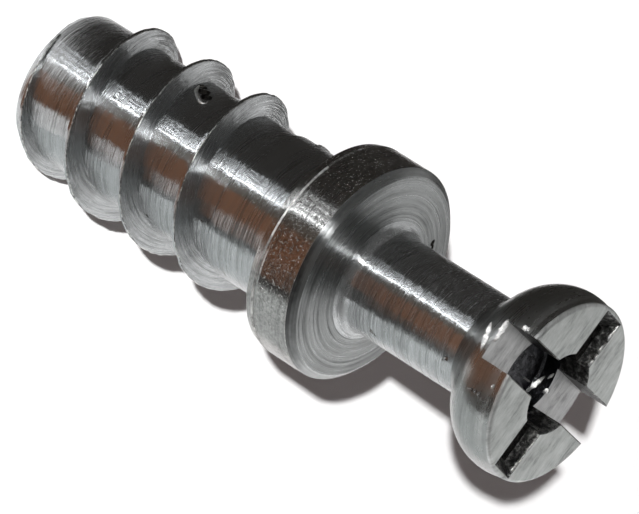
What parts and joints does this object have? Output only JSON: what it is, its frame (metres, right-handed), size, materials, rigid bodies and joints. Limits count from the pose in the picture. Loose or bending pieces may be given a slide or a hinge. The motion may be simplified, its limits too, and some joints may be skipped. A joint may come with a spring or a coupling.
{
  "type": "cam dowel",
  "caption": "Turned steel cam dowel with a coarse screw thread, plain shank, round collar, slim neck and a domed head with a cross-slot drive, for joining furniture panels.",
  "frame": {"origin": "centre of the tip's end, where the dowel stands on its tip", "axes": "+Z along the dowel's axis from the tip to the slotted head, +X along the wide open slot of the head"},
  "size_m": [0.0074, 0.0074, 0.0217],
  "materials": {
    "steel": "bright plated, turned, with fine lathe rings and scratches"
  },
  "bodies": {
    "root": {"cam_dowel": "steel"}
  },
  "joints": []
}
